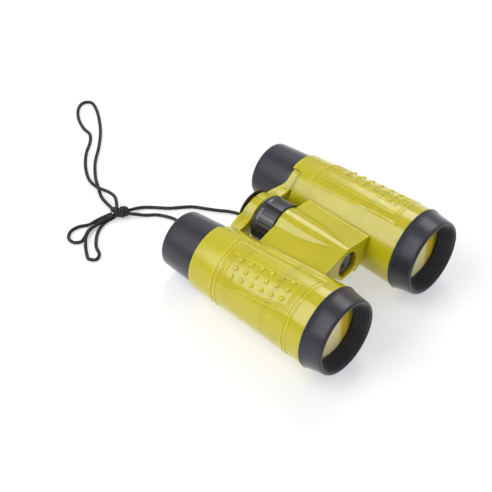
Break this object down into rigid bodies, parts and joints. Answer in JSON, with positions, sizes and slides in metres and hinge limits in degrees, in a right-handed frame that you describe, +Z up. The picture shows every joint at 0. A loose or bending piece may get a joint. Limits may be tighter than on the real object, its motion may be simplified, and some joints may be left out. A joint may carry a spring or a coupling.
{
  "type": "toy binoculars",
  "caption": "Small folding toy binoculars with translucent conical barrels, dark rings and eyecups, a centre focus wheel and a knotted cord strap.",
  "frame": {"origin": "on the surface it lies on, under the middle of the binoculars' box without the strap", "axes": "+Z up, +Y towards the eyepieces, +X towards the right barrel; the optical axes dip 3.1 degrees below +Y because the pair lies on its front rings and rear barrel rims"},
  "size_m": [0.1212, 0.2331, 0.0432],
  "materials": {
    "barrel_plastic": "polished translucent yellow-green",
    "charcoal_plastic": "fine satin",
    "inner_plastic": "satin grey",
    "wheel_plastic": "glossy black",
    "lens": "clear moulded lens",
    "steel": "plain",
    "cord": "braided"
  },
  "bodies": {
    "left_half": {"left_barrel": "barrel_plastic", "left_front_ring": "charcoal_plastic", "left_objective_lens": "lens", "left_lens_retainer": "barrel_plastic", "hinge_pin": "steel", "pin_front_cap": "wheel_plastic", "wheel_washer": "steel", "strap_right_strand": "cord", "strap_left_strand": "cord", "strap_knot": "cord", "strap_long_loop": "cord", "strap_side_loop": "cord", "strap_low_loop": "cord"},
    "right_half": {"right_barrel": "barrel_plastic", "right_front_ring": "charcoal_plastic", "right_objective_lens": "lens", "right_lens_retainer": "barrel_plastic"},
    "focus_drive": {"focus_wheel": "wheel_plastic", "focus_screw": "wheel_plastic"},
    "left_eyepiece": {"left_arm": "barrel_plastic", "left_eyepiece_tube": "inner_plastic", "left_eyecup": "charcoal_plastic", "left_eye_lens": "lens", "bridge_cap": "wheel_plastic"},
    "right_eyepiece": {"right_arm": "barrel_plastic", "right_eyepiece_tube": "inner_plastic", "right_eyecup": "charcoal_plastic", "right_eye_lens": "lens"}
  },
  "joints": [
    {"name": "fold", "type": "hinge", "parent": "left_half", "child": "right_half", "pos_m": [0, -0.00627, 0.02532], "axis": [0, 0.9986, -0.0536], "range_deg": [0, 25]},
    {"name": "focus_turn", "type": "hinge", "parent": "left_half", "child": "focus_drive", "pos_m": [0, 0.01969, 0.02393], "axis": [0, 0.9986, -0.0536], "range_deg": [-251, 121]},
    {"name": "eyepiece_travel", "type": "slide", "parent": "left_half", "child": "left_eyepiece", "axis": [0, 0.9986, -0.0536], "range_m": [-0.0012, 0.0025]},
    {"name": "right_eyepiece_travel", "type": "slide", "parent": "right_half", "child": "right_eyepiece", "axis": [0, 0.9986, -0.0536], "range_m": [-0.0012, 0.0025]}
  ],
  "couplings": [
    {"joint": "focus_turn", "follows": "eyepiece_travel", "rad_per_m": -1745.3},
    {"joint": "right_eyepiece_travel", "follows": "eyepiece_travel", "ratio": 1}
  ]
}
